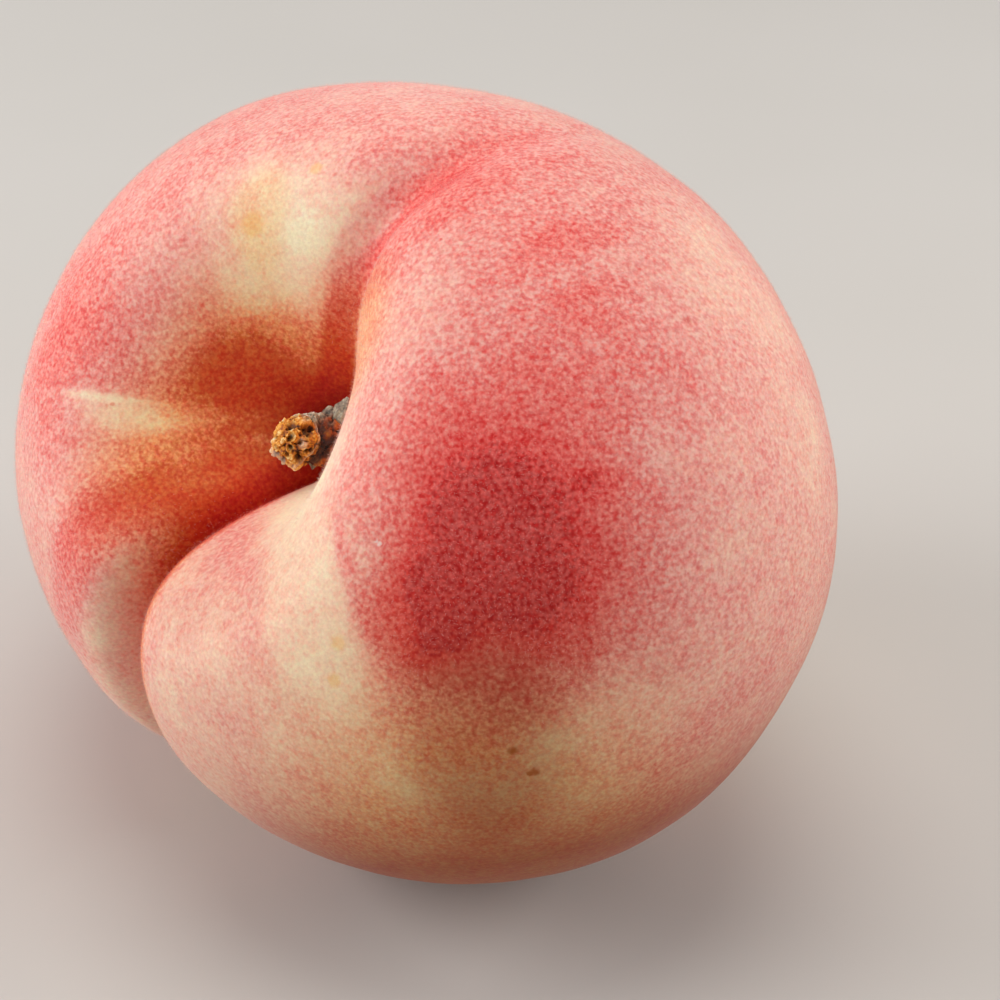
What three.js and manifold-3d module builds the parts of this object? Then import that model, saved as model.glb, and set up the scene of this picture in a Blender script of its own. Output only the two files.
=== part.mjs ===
// A whole white peach, lying on the side where it grew heaviest.
//
// Two solids: the fruit, grown in one piece, with its stem cavity and its suture, and the short
// corky stem that is left in the cavity. Millimetres, +Z up. The fruit rests on a small flat spot,
// and the origin is that spot's middle.
//
// Each form is first drawn in the fruit's own axes: x from the middle towards the suture, y towards
// the front lobe, z along the stem axis. Places on the fruit are given as two angles: "around", the
// longitude from the suture towards the front lobe, and "down", the angle from the stem axis.

import * as THREE from 'three';
import { mergeVertices } from 'three/addons/utils/BufferGeometryUtils.js';
import Module from 'manifold-3d';

const { degToRad, lerp, smoothstep } = THREE.MathUtils;

// ------------------------------------------------------------ driving dimensions (mm and degrees)

// The body before its swellings: an ellipsoid, a little squarer than a true one.
const BODY = { toSuture: 35.7, toLobes: 45.7, toStem: 37.6, fullness: 2.14 };

// Where the body swells (height above 0) or draws in (below 0), and how widely.
const SHOULDER_SPREAD = 32;
const CHEEK_SPREAD = 34;
const BASE_SPREAD = 40;
const FLANK_SPREAD = 30;
const TIP_SPREAD = 26;
const SWELLINGS = [
  { place: 'front shoulder', around: 90, down: 38, spread: SHOULDER_SPREAD, height: -2.5 },
  { place: 'front cheek', around: 90, down: 90, spread: CHEEK_SPREAD, height: -1 },
  { place: 'front base', around: 90, down: 135, spread: BASE_SPREAD, height: -5 },
  { place: 'rear cheek', around: -90, down: 90, spread: CHEEK_SPREAD, height: 4 },
  { place: 'back cheek', around: 180, down: 90, spread: CHEEK_SPREAD, height: 4.5 },
  { place: 'back base', around: 180, down: 135, spread: BASE_SPREAD, height: -7 },
  { place: 'front of the suture', around: 35, down: 75, spread: FLANK_SPREAD, height: 3 },
  { place: 'rear of the suture', around: -35, down: 75, spread: FLANK_SPREAD, height: 7 },
  { place: 'front of the back', around: 135, down: 75, spread: FLANK_SPREAD, height: 3.5 },
  { place: 'rear of the back', around: -135, down: 75, spread: FLANK_SPREAD, height: -2.5 },
  { place: 'tip', around: 0, down: 180, spread: TIP_SPREAD, height: 4 },
];

// The stem cavity: a steep-walled bowl, longer towards the back than towards the suture.
const CAVITY = { depth: 21.5, toBack: 18.5, toSuture: 14.5, toLobes: 14.5, steepness: 3 };
const CAVITY_BLEND = 6;

// The suture: a deep crease from the cavity over the side, closing up underneath. Its front wall
// rolls over more gently than its rear wall.
const SUTURE = { depth: 7.5, frontWall: 2.5, rearWall: 1.3, floorRound: 0.3, runIn: 6 };
const SUTURE_OPENS = { from: -3, to: 26 };
const SUTURE_CLOSES = { from: 75, to: 115 };

// The shallow furrow on the other side of the cavity, in line with the suture.
const FURROW = { depth: 4, down: 34, spread: 25, halfWidth: 3.6 };

// How the fruit lies: its stem axis leans from the vertical, points to a side, and the fruit is
// rolled about that axis.
const STEM_LEAN = 58.5;
const STEM_HEADING = -145;
const ROLL = -7.5;
const FLAT_DEPTH = 0.8;

// The stem, with heights from the cavity's floor. Its peg sits in a socket in the flesh.
const CLEARANCE = 0.3;
const PEG = { length: 3, radius: 2.2 };
const SOCKET_CUTTER_RISE = 2;
const STEM_PROFILE = [
  { height: 2.0, radius: PEG.radius },
  { height: 2.6, radius: 2.4 },
  { height: 3.4, radius: 2.8 },
  { height: 4.2, radius: 2.35 },
  { height: 4.9, radius: 1.8 },
  { height: 5.5, radius: 2.15 },
  { height: 6.3, radius: 2.35 },
  { height: 7.2, radius: 2.15 },
  { height: 7.9, radius: 1.5 },
  { height: 8.3, radius: 0.7 },
];
const STEM_TOP = 8.4;
const RELIEF_STARTS = { from: 2, to: 3.2 };
// Above its peg the stem bends towards the suture and the front lobe.
const STEM_BEND = { toSuture: 1.1, toFront: 0.4, from: 1.8, to: 6.5 };
const STEM_RIBS = { count: 5, depth: 0.07, twist: 18 };
const CORK_LUMPS = { count: 3, depth: 0.06, pitch: 1.9 };

// Scales of dry bark on the stem's base: where each starts and ends, from the stem axis.
const BARK_SCALES = [
  { around: 176, rootRadius: 0.8, rootHeight: 3.2, tipRadius: 4.6, tipHeight: 3.5, width: 2.8 },
  { around: 36, rootRadius: 1.2, rootHeight: 4.0, tipRadius: 3.5, tipHeight: 4.4, width: 2 },
];
const BARK_THICKNESS = 0.9;
const BARK_TIP_SHARE = 0.55;
const BARK_HOLLOW = 0.08;

// Facets.
const FRUIT_ROWS = 54;
const FRUIT_COLUMNS = 68;
const ROWS_CLOSER_AT_STEM = 0.35;
const COLUMNS_CLOSER_AT_SUTURE = 0.72;
const STEM_ROWS = 30;
const STEM_COLUMNS = 26;
const SCALE_ROWS = 8;
const SCALE_COLUMNS = 10;
const SOCKET_SIDES = 20;

// ------------------------------------------------------------------------------- closed surfaces

// A closed surface from a first point, rings of points and a last point. pointAt(t, s) gives the
// point at t of the way from the first to the last, and s of the way round.
function closedForm(rows, columns, pointAt) {
  const points = [pointAt(0, 0)];
  for (let row = 1; row < rows; row += 1) {
    for (let column = 0; column < columns; column += 1) {
      points.push(pointAt(row / rows, column / columns));
    }
  }
  points.push(pointAt(1, 0));
  const last = points.length - 1;
  const at = (row, column) => 1 + (row - 1) * columns + (column % columns);
  const index = [];
  for (let column = 0; column < columns; column += 1) {
    index.push(0, at(1, column), at(1, column + 1));
    for (let row = 1; row < rows - 1; row += 1) {
      const [a, b] = [at(row, column), at(row + 1, column)];
      const [c, d] = [at(row + 1, column + 1), at(row, column + 1)];
      index.push(a, b, c, a, c, d);
    }
    index.push(at(rows - 1, column), last, at(rows - 1, column + 1));
  }
  const geometry = new THREE.BufferGeometry().setFromPoints(points);
  geometry.setIndex(index);
  return geometry;
}

// -------------------------------------------------------------------------------- the fruit's form

function direction(around, down) {
  return new THREE.Vector3(
    Math.sin(down) * Math.cos(around),
    Math.sin(down) * Math.sin(around),
    Math.cos(down),
  );
}

function bodyRadius(way) {
  const power = BODY.fullness;
  const squared =
    Math.abs(way.x / BODY.toSuture) ** power +
    Math.abs(way.y / BODY.toLobes) ** power +
    Math.abs(way.z / BODY.toStem) ** power;
  let radius = squared ** (-1 / power);
  for (const { around, down, spread, height } of SWELLINGS) {
    const middle = direction(degToRad(around), degToRad(down));
    radius += height * Math.exp((way.dot(middle) - 1) / degToRad(spread) ** 2);
  }
  return radius;
}

function cavityDepth(x, y, way) {
  if (way.z <= 0) return 0;
  const towardsSuture = 0.5 + 0.5 * Math.tanh(x / CAVITY_BLEND);
  const halfLength = lerp(CAVITY.toBack, CAVITY.toSuture, towardsSuture);
  const out = Math.hypot(x / halfLength, y / CAVITY.toLobes);
  return CAVITY.depth * Math.exp(-(out ** CAVITY.steepness));
}

function sutureDepth(x, y, down) {
  const wall = y > 0 ? SUTURE.frontWall : SUTURE.rearWall;
  const out = Math.hypot(y / wall, SUTURE.floorRound) - SUTURE.floorRound;
  const opened = smoothstep(down, degToRad(SUTURE_OPENS.from), degToRad(SUTURE_OPENS.to));
  const closed = smoothstep(down, degToRad(SUTURE_CLOSES.from), degToRad(SUTURE_CLOSES.to));
  return SUTURE.depth * opened * (1 - closed) * smoothstep(x, 0, SUTURE.runIn) * Math.exp(-out);
}

function furrowDepth(x, y, down) {
  const along = (down - degToRad(FURROW.down)) / degToRad(FURROW.spread);
  const across = y / FURROW.halfWidth;
  return FURROW.depth * smoothstep(-x, 0, SUTURE.runIn) * Math.exp(-along * along - across * across);
}

function fruitPoint(around, down) {
  const way = direction(around, down);
  const radius = bodyRadius(way);
  const [x, y] = [radius * way.x, radius * way.y];
  const cut = cavityDepth(x, y, way) + sutureDepth(x, y, down) + furrowDepth(x, y, down);
  return way.multiplyScalar(radius - cut);
}

// Rows lie closer round the stem, and columns closer along the suture and the furrow.
function fruitForm() {
  return closedForm(FRUIT_ROWS, FRUIT_COLUMNS, (t, s) => {
    const down = Math.PI * (ROWS_CLOSER_AT_STEM * t * t + (1 - ROWS_CLOSER_AT_STEM) * t);
    const evenly = 2 * Math.PI * s;
    const around = evenly - (COLUMNS_CLOSER_AT_SUTURE / 2) * Math.sin(2 * evenly);
    return fruitPoint(around, down);
  });
}

// ---------------------------------------------------------------------------------- the stem's form

// The smooth radius of the stem at a height above the cavity's floor.
function stemRadius(height) {
  if (height <= STEM_PROFILE[0].height) return PEG.radius;
  const tip = { height: STEM_TOP, radius: 0 };
  const rings = [...STEM_PROFILE, tip];
  const next = rings.findIndex((ring) => ring.height >= height);
  const [below, above] = [rings[next - 1], rings[next]];
  return lerp(below.radius, above.radius, smoothstep(height, below.height, above.height));
}

// Ribs that twist along the stem and, on the knob, lumps of cork.
function stemRelief(height, around) {
  const clearOfPeg = smoothstep(height, RELIEF_STARTS.from, RELIEF_STARTS.to);
  const ribs = Math.cos(STEM_RIBS.count * around + degToRad(STEM_RIBS.twist) * height);
  const lumps = Math.sin(CORK_LUMPS.count * around) * Math.sin((2 * Math.PI * height) / CORK_LUMPS.pitch);
  return 1 + clearOfPeg * (STEM_RIBS.depth * ribs + CORK_LUMPS.depth * lumps);
}

function stemCore(floor) {
  const peg = -PEG.length;
  const heights = [peg, ...STEM_PROFILE.map((ring) => ring.height), STEM_TOP];
  return closedForm(STEM_ROWS, STEM_COLUMNS, (t, s) => {
    const along = (1 - t) * (heights.length - 1);
    const step = Math.min(Math.floor(along), heights.length - 2);
    const height = lerp(heights[step], heights[step + 1], along - step);
    const around = 2 * Math.PI * s;
    const atEnd = t === 0 || t === 1;
    const radius = atEnd ? 0 : stemRadius(height) * stemRelief(height, around);
    const bent = smoothstep(height, STEM_BEND.from, STEM_BEND.to);
    return new THREE.Vector3(
      radius * Math.cos(around) + bent * STEM_BEND.toSuture,
      radius * Math.sin(around) + bent * STEM_BEND.toFront,
      floor + height,
    );
  });
}

// A pointed, slightly hollow scale that leans out from the stem.
function barkScale({ around, rootRadius, rootHeight, tipRadius, tipHeight, width }, floor) {
  const length = Math.hypot(tipRadius - rootRadius, tipHeight - rootHeight);
  const form = closedForm(SCALE_ROWS, SCALE_COLUMNS, (t, s) => {
    const fromRoot = 1 - t;
    const full = Math.sqrt(Math.max(0, 1 - (2 * fromRoot - 1) ** 2));
    const taper = full * lerp(1, BARK_TIP_SHARE, fromRoot);
    const [across, thick] = [Math.cos(2 * Math.PI * s), Math.sin(2 * Math.PI * s)];
    const x = (width / 2) * taper * across;
    const y = (BARK_THICKNESS / 2) * taper * thick - BARK_HOLLOW * x * x;
    return new THREE.Vector3(x, y, length * fromRoot);
  });
  const rise = Math.atan2(tipHeight - rootHeight, tipRadius - rootRadius);
  form.rotateX(Math.PI / 2 - rise);
  form.rotateZ(Math.PI / 2 + degToRad(around));
  const root = direction(degToRad(around), Math.PI / 2).multiplyScalar(rootRadius);
  form.translate(root.x, root.y, floor + rootHeight);
  return form;
}

// --------------------------------------------------------------------------------- cuts and joins

const wasm = await Module();
wasm.setup();

function solidOf(geometry) {
  const bare = geometry.clone();
  bare.deleteAttribute('normal');
  bare.deleteAttribute('uv');
  const merged = mergeVertices(bare);
  const vertProperties = Float32Array.from(merged.attributes.position.array);
  const triVerts = Uint32Array.from(merged.index.array);
  return new wasm.Manifold(new wasm.Mesh({ numProp: 3, vertProperties, triVerts }));
}

function geometryOf(solid) {
  const { vertProperties, triVerts } = solid.getMesh();
  const geometry = new THREE.BufferGeometry();
  geometry.setAttribute('position', new THREE.BufferAttribute(vertProperties, 3));
  geometry.setIndex(new THREE.BufferAttribute(triVerts, 1));
  geometry.computeVertexNormals();
  return geometry;
}

// ---------------------------------------------------------------------------------- how it lies

function lyingTurn() {
  const [upright, across] = [new THREE.Vector3(0, 0, 1), new THREE.Vector3(0, 1, 0)];
  const turn = (axis, degrees) => new THREE.Quaternion().setFromAxisAngle(axis, degToRad(degrees));
  return turn(upright, STEM_HEADING).multiply(turn(across, STEM_LEAN)).multiply(turn(upright, ROLL));
}

function lowestPoint(geometry, turn) {
  const places = geometry.attributes.position;
  const lowest = new THREE.Vector3(0, 0, Infinity);
  for (let i = 0; i < places.count; i += 1) {
    const place = new THREE.Vector3().fromBufferAttribute(places, i).applyQuaternion(turn);
    if (place.z < lowest.z) lowest.copy(place);
  }
  return lowest;
}

// The middle of the flat spot: the mean of the points that lie level with it.
const LEVEL_WITHIN = 1e-3;
function flatMiddle(geometry, turn, level) {
  const places = geometry.attributes.position;
  const middle = new THREE.Vector3();
  let count = 0;
  for (let i = 0; i < places.count; i += 1) {
    const place = new THREE.Vector3().fromBufferAttribute(places, i).applyQuaternion(turn);
    if (Math.abs(place.z - level) < LEVEL_WITHIN) {
      middle.add(place);
      count += 1;
    }
  }
  return middle.divideScalar(count);
}

// --------------------------------------------------------------------------------------- the peach

const turn = lyingTurn();
const grown = fruitForm();
const cavityFloor = fruitPoint(0, 0).z;
const flatLevel = lowestPoint(grown, turn).z + FLAT_DEPTH;

// Everything below the flat spot's level is taken off.
const SLAB = { width: 120, height: 20 };
const slab = new THREE.BoxGeometry(SLAB.width, SLAB.width, SLAB.height);
slab.translate(0, 0, flatLevel - SLAB.height / 2);
slab.applyQuaternion(turn.clone().invert());

const socketDepth = PEG.length + CLEARANCE;
const socketRadius = PEG.radius + CLEARANCE;
const socket = new THREE.CylinderGeometry(
  socketRadius,
  socketRadius,
  socketDepth + SOCKET_CUTTER_RISE,
  SOCKET_SIDES,
);
socket.rotateX(Math.PI / 2);
socket.translate(0, 0, cavityFloor + (SOCKET_CUTTER_RISE - socketDepth) / 2);

const fruitGeometry = geometryOf(solidOf(grown).subtract(solidOf(slab)).subtract(solidOf(socket)));

let stemSolid = solidOf(stemCore(cavityFloor));
for (const scale of BARK_SCALES) {
  stemSolid = stemSolid.add(solidOf(barkScale(scale, cavityFloor)));
}

const fruit = new THREE.Mesh(
  fruitGeometry,
  new THREE.MeshStandardMaterial({ color: 0xe6998c, roughness: 0.75, metalness: 0 }),
);
fruit.name = 'fruit';

const stem = new THREE.Mesh(
  geometryOf(stemSolid),
  new THREE.MeshStandardMaterial({ color: 0x94683a, roughness: 0.9, metalness: 0 }),
);
stem.name = 'stem';

const peach = new THREE.Group();
peach.name = 'peach';
peach.quaternion.copy(turn);
peach.position.copy(flatMiddle(fruitGeometry, turn, flatLevel)).negate();
peach.add(fruit, stem);

export default peach;
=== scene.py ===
"""A white peach with its skin, its down and its corky stem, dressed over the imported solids."""

import math

import bpy
import numpy as np
from mathutils import Matrix, Vector


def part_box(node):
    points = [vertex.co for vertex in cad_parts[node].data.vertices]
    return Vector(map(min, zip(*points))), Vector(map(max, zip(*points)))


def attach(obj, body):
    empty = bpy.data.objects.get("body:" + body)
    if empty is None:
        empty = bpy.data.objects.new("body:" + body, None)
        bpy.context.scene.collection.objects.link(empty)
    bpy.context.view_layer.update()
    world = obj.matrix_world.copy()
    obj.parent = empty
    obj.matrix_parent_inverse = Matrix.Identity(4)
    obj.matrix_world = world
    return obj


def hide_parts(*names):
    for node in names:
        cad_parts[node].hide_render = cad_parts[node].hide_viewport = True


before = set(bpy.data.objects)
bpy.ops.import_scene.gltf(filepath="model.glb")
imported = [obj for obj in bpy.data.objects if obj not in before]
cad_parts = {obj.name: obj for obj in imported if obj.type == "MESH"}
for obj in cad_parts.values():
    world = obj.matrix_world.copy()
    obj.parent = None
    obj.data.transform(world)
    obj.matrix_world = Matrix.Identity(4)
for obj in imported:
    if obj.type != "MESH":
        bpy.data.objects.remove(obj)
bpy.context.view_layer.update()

MM = 0.001

# ------------------------------------------------------------------------------------- the form, mm

# The fruit's own axes: x from the middle towards the suture, y towards the front lobe, z along the
# stem axis. A place is two angles: around, from the suture towards the front lobe, and down, from
# the stem axis.
BODY_TO_SUTURE, BODY_TO_LOBES, BODY_TO_STEM, FULLNESS = 35.7, 45.7, 37.6, 2.14

# Where the body swells or draws in: around, down, spread, height.
SWELLINGS = {
    "front shoulder": (90, 38, 32, -2.5),
    "front cheek": (90, 90, 34, -1.0),
    "front base": (90, 135, 40, -5.0),
    "rear cheek": (-90, 90, 34, 4.0),
    "back cheek": (180, 90, 34, 4.5),
    "back base": (180, 135, 40, -7.0),
    "front of the suture": (35, 75, 30, 3.0),
    "rear of the suture": (-35, 75, 30, 7.0),
    "front of the back": (135, 75, 30, 3.5),
    "rear of the back": (-135, 75, 30, -2.5),
    "tip": (0, 180, 26, 4.0),
}

CAVITY_DEPTH, CAVITY_TO_BACK, CAVITY_TO_SUTURE, CAVITY_TO_LOBES = 21.5, 18.5, 14.5, 14.5
CAVITY_STEEPNESS, CAVITY_BLEND = 3.0, 6.0
SUTURE_DEPTH, SUTURE_FRONT_WALL, SUTURE_REAR_WALL, SUTURE_FLOOR = 7.5, 2.5, 1.3, 0.3
SUTURE_OPENS, SUTURE_CLOSES, SUTURE_RUN_IN = (-3, 26), (75, 115), 6.0
FURROW_DEPTH, FURROW_DOWN, FURROW_SPREAD, FURROW_HALF_WIDTH = 4.0, 34, 25, 3.6

# How the fruit lies.
STEM_HEADING, STEM_LEAN, ROLL = -145, 58.5, -7.5
LYING = (
    Matrix.Rotation(math.radians(STEM_HEADING), 3, "Z")
    @ Matrix.Rotation(math.radians(STEM_LEAN), 3, "Y")
    @ Matrix.Rotation(math.radians(ROLL), 3, "Z")
)
LYING = np.array(LYING)
FLAT_ROUNDING = 0.25
# The faint unevenness of the skin: height, size, seed.
UNEVENNESS = ((0.09, 9.0, 3), (0.045, 3.6, 4))

# The stem, with heights from the cavity's floor.
PEG_LENGTH, PEG_RADIUS, CLEARANCE = 3.0, 2.2, 0.3
# Its socket in the fruit: shares of the radius, and depths under the cavity's floor.
SOCKET_DEPTH, SOCKET_LIP = PEG_LENGTH + CLEARANCE, 0.4
SOCKET_RINGS = (
    (0.5, SOCKET_DEPTH),
    (0.93, SOCKET_DEPTH),
    (1.0, 3.1),
    (1.0, 1.7),
    (1.0, 0.45),
    (1.06, 0.1),
)
STEM_PROFILE = [
    (2.0, PEG_RADIUS),
    (2.6, 2.4),
    (3.4, 2.8),
    (4.2, 2.35),
    (4.9, 1.8),
    (5.5, 2.15),
    (6.3, 2.35),
    (7.2, 2.15),
    (7.9, 1.5),
    (8.3, 0.7),
]
STEM_TOP = 8.4
# Its relief is pushed out from this far below each point's own level.
MIDDLE_DROP = 0.6
# Above its peg the stem bends towards the suture and the front lobe.
STEM_BEND, BEND_STARTS, BEND_ENDS = (1.1, 0.4), 1.8, 6.5
# Scales of dry bark: around, root radius, root height, tip radius, tip height, width.
BARK_SCALES = ((176, 0.8, 3.2, 4.6, 3.5, 2.8), (36, 1.2, 4.0, 3.5, 4.4, 2.0))
BARK_THICKNESS, BARK_HOLLOW, BARK_ROUGHNESS = 0.9, 0.08, 0.5
# Each scale narrows towards its tip, faster over its last part, and has ridges along it.
BARK_TAPER, TIP_TAPER, TIP_STARTS = 0.45, 0.30, 0.55
RIDGE_HEIGHT, RIDGE_CLOSENESS, RIDGE_SLANT = 0.16, 11, 2.0
# Grey bark in a strip up one side of the stem, and a painted highlight on the knob: around, height.
BARK_STRIP = 214
HIGHLIGHT_FLECK, HIGHLIGHT_FLECK_RADIUS = (math.radians(114), 7.36), 0.5
# Bark that bridges the neck there: height, level, spread, and how far it reaches aside.
BRIDGE_HEIGHT, BRIDGE_LEVEL, BRIDGE_SPREAD, BRIDGE_ASIDE = 0.55, 4.9, 0.75, (-60, -20)
# Ribs that wind up the stem, and swellings of its cork.
RIBS, RIB_HEIGHT, RIB_TWIST = 5, 0.07, math.radians(18)
SWELLS, SWELL_HEIGHT, SWELL_LENGTH = 3, 0.06, 1.9
# The roughness of cork: height, size, seed. Cracks run through it.
CORK_LUMPS = ((0.13, 0.95, 21), (0.13, 0.42, 22), (0.07, 0.20, 23))
CRACK_DEPTH, CRACK_SIZE, CRACK_SEED, CRACK_WIDTH = 0.16, 0.8, 24, 0.10
FULLY_RAISED = 0.2
# Heights between which the ribs, the roughness and the knob begin.
RIBS_START, ROUGH_STARTS, KNOB_STARTS, KNOB_ROUGHER = (2.0, 3.2), (2.2, 3.4), (5.0, 5.8), 0.4
# Heights between which the dark neck begins, and, counted downwards, those at which it and the grey
# strip end. How far aside the strip ends, in degrees.
NECK_STARTS, NECK_ENDS, STRIP_ENDS = (4.0, 4.7), (-5.9, -5.2), (-7.2, -6.6)
STRIP_ASIDE = (-46, -24)
# Those edges wander: degrees, size, seed. In height they wander by these shares of the degrees.
WANDER, WANDER_SIZE, WANDER_SEED = 14, 0.8, 27
FOOT_WANDERS, HEAD_WANDERS = 0.05, 0.03
# The torn rim of the knob's tilted face, and the pits in its cork: around, height, radius.
RIM_HEIGHT, RIM_TILT, RIM_TURN, RIM_WIDTH, RIM_SPREAD = 6.5, 0.9, -20, 0.34, 0.16
RIM_LOWEST, RIM_TEAR, RIM_SEED = 0.35, 0.3, 26
BIG_PITS = np.array(
    [
        (180, 8.0, 0.50),
        (153, 6.9, 0.48),
        (129, 8.08, 0.34),
        (70, 7.0, 0.36),
        (0, 7.6, 0.4),
    ]
)
PIT_SEED, PIT_COUNT, PIT_LEVELS, PIT_RADII = 5, 40, (5.4, 8.3), (0.15, 0.30)
PIT_DEPTH, PIT_RIM = 0.48, 0.12
PIT_RIM_AT, PIT_RIM_WIDTH = 1.35, 0.3

# Finer than the solids.
SKIN_ROWS, SKIN_COLUMNS = 222, 420
STEM_ROWS, STEM_COLUMNS = 190, 170
BARK_ROWS, BARK_COLUMNS = 59, 64
# The angles at which the skin is measured before its rows and columns are placed: how many down and
# around, how many around for the rows, and how many degrees down for the columns.
FINE_DOWN, FINE_AROUND, ROW_AROUND, COLUMN_DOWN = 900, 1441, 60, (20, 30, 40, 55, 75, 90)
# How many angles its box is measured at, from this many radians down.
BOX_ANGLES, FIRST_DOWN = 361, 0.01


def smooth(value, start, end):
    share = np.clip((value - start) / (end - start), 0, 1)
    return share * share * (3 - 2 * share)


def direction(around, down):
    return np.stack(
        [np.sin(down) * np.cos(around), np.sin(down) * np.sin(around), np.cos(down)], axis=-1
    )


def way_to(around, down):
    return direction(np.radians(around), np.radians(down))


# ------------------------------------------------------------------------ lumpiness, in plain numpy

# A cell of noise finds its value in a table of this length, by these multipliers of its place.
NOISE_VALUES, CELL_STEPS = 4096, (73856093, 19349663, 83492791)


def lumps(points, size, seed):
    """Smooth noise from -1 to 1 that changes over size, at an array of points."""
    table = np.random.default_rng(seed).uniform(-1, 1, NOISE_VALUES)
    where = points / size
    cell = np.floor(where).astype(np.int64)
    part = where - cell
    part = part * part * part * (part * (part * 6 - 15) + 10)
    total = np.zeros(where.shape[:-1])
    for corner in np.ndindex(2, 2, 2):
        at = cell + np.array(corner)
        x, y, z = (at[..., axis] * CELL_STEPS[axis] for axis in range(3))
        share = np.ones_like(total)
        for axis in range(3):
            share = share * (part[..., axis] if corner[axis] else 1 - part[..., axis])
        total += share * table[(x ^ y ^ z) % NOISE_VALUES]
    return total


# ------------------------------------------------------------------------------ the fruit's surface


def body_radius(way):
    squared = (
        np.abs(way[..., 0] / BODY_TO_SUTURE) ** FULLNESS
        + np.abs(way[..., 1] / BODY_TO_LOBES) ** FULLNESS
        + np.abs(way[..., 2] / BODY_TO_STEM) ** FULLNESS
    )
    radius = squared ** (-1 / FULLNESS)
    for around, down, spread, height in SWELLINGS.values():
        near = (way @ way_to(around, down) - 1) / math.radians(spread) ** 2
        radius = radius + height * np.exp(near)
    return radius


def cavity_cut(x, y, way):
    to_suture = 0.5 + 0.5 * np.tanh(x / CAVITY_BLEND)
    half_length = CAVITY_TO_BACK + (CAVITY_TO_SUTURE - CAVITY_TO_BACK) * to_suture
    out = np.hypot(x / half_length, y / CAVITY_TO_LOBES)
    return np.where(way[..., 2] > 0, CAVITY_DEPTH * np.exp(-(out**CAVITY_STEEPNESS)), 0)


def suture_cut(x, y, down):
    wall = np.where(y > 0, SUTURE_FRONT_WALL, SUTURE_REAR_WALL)
    out = np.hypot(y / wall, SUTURE_FLOOR) - SUTURE_FLOOR
    opened = smooth(down, *np.radians(SUTURE_OPENS))
    closed = smooth(down, *np.radians(SUTURE_CLOSES))
    return SUTURE_DEPTH * opened * (1 - closed) * smooth(x, 0, SUTURE_RUN_IN) * np.exp(-out)


def furrow_cut(x, y, down):
    along = (down - math.radians(FURROW_DOWN)) / math.radians(FURROW_SPREAD)
    across = y / FURROW_HALF_WIDTH
    return FURROW_DEPTH * smooth(-x, 0, SUTURE_RUN_IN) * np.exp(-along * along - across * across)


def fruit_points(around, down, relief=0.0):
    """Places on the skin for arrays of the two angles in radians, on the fruit's own axes."""
    way = direction(around, down)
    radius = body_radius(way)
    x, y = radius * way[..., 0], radius * way[..., 1]
    cut = cavity_cut(x, y, way) + suture_cut(x, y, down) + furrow_cut(x, y, down)
    plain = way * (radius - cut)[..., None]
    faint = sum(height * lumps(plain, size, seed) for height, size, seed in UNEVENNESS)
    return plain + way * (relief * faint)[..., None]


CAVITY_FLOOR = float(fruit_points(np.zeros(1), np.zeros(1))[0, 2])


def even_angles(lengths, angles, count, closed):
    """Angles spaced so that the surface is stepped over evenly."""
    travelled = np.concatenate([[0], np.cumsum(lengths)])
    stops = np.linspace(0, travelled[-1], count, endpoint=not closed)
    return np.interp(stops, travelled, angles)


def skin_grid():
    """The angles of the skin's rows and columns, closer where the surface turns quickly."""
    first = math.atan2(PEG_RADIUS + CLEARANCE + SOCKET_LIP, CAVITY_FLOOR)
    fine_down = np.linspace(first, math.pi, FINE_DOWN)
    fine_around = np.linspace(-math.pi, math.pi, FINE_AROUND)
    coarse = fruit_points(*np.meshgrid(np.linspace(-math.pi, math.pi, ROW_AROUND), fine_down))
    rows = np.linalg.norm(np.diff(coarse, axis=0), axis=-1).mean(axis=1)
    coarse = fruit_points(*np.meshgrid(fine_around, np.radians(COLUMN_DOWN)))
    columns = np.linalg.norm(np.diff(coarse, axis=1), axis=-1).max(axis=0)
    down = even_angles(rows, fine_down, SKIN_ROWS, closed=False)[:-1]
    around = even_angles(columns, fine_around, SKIN_COLUMNS, closed=True)
    return around, down


def lying_places(points):
    """Points on the fruit's own axes, turned and moved to where the fruit lies, in metres."""
    return (points @ LYING.T + LIFT) * MM


def find_lift():
    """How far the middle of the fruit is from the resting spot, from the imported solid's own box."""
    around = np.linspace(-math.pi, math.pi, BOX_ANGLES)
    down = np.linspace(FIRST_DOWN, math.pi, BOX_ANGLES)
    turned = fruit_points(*np.meshgrid(around, down)).reshape(-1, 3) @ LYING.T
    low, high = (np.array(corner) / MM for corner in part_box("fruit"))
    lift = (low + high - turned.min(axis=0) - turned.max(axis=0)) / 2
    lift[2] = high[2] - turned[:, 2].max()
    return lift


LIFT = find_lift()

# ------------------------------------------------------------------------------------- plain meshes


def closed_mesh(name, first, rings, last):
    """A closed mesh from a first point, rings of points and a last point, facing outwards."""
    count, columns = rings.shape[:2]
    points = np.concatenate([[first], rings.reshape(-1, 3), [last]])
    ring = 1 + np.arange(count * columns).reshape(count, columns)
    after = np.roll(ring, -1, axis=1)
    quads = np.stack([ring[:-1], ring[1:], after[1:], after[:-1]], axis=-1).reshape(-1, 4)
    start = [(0, int(a), int(b)) for a, b in zip(ring[0], after[0])]
    end = [(int(a), len(points) - 1, int(b)) for a, b in zip(ring[-1], after[-1])]
    mesh = bpy.data.meshes.new(name)
    mesh.from_pydata(points.tolist(), [], start + quads.tolist() + end)
    mesh.shade_smooth()
    piece = bpy.data.objects.new(name, mesh)
    bpy.context.scene.collection.objects.link(piece)
    return piece


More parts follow.
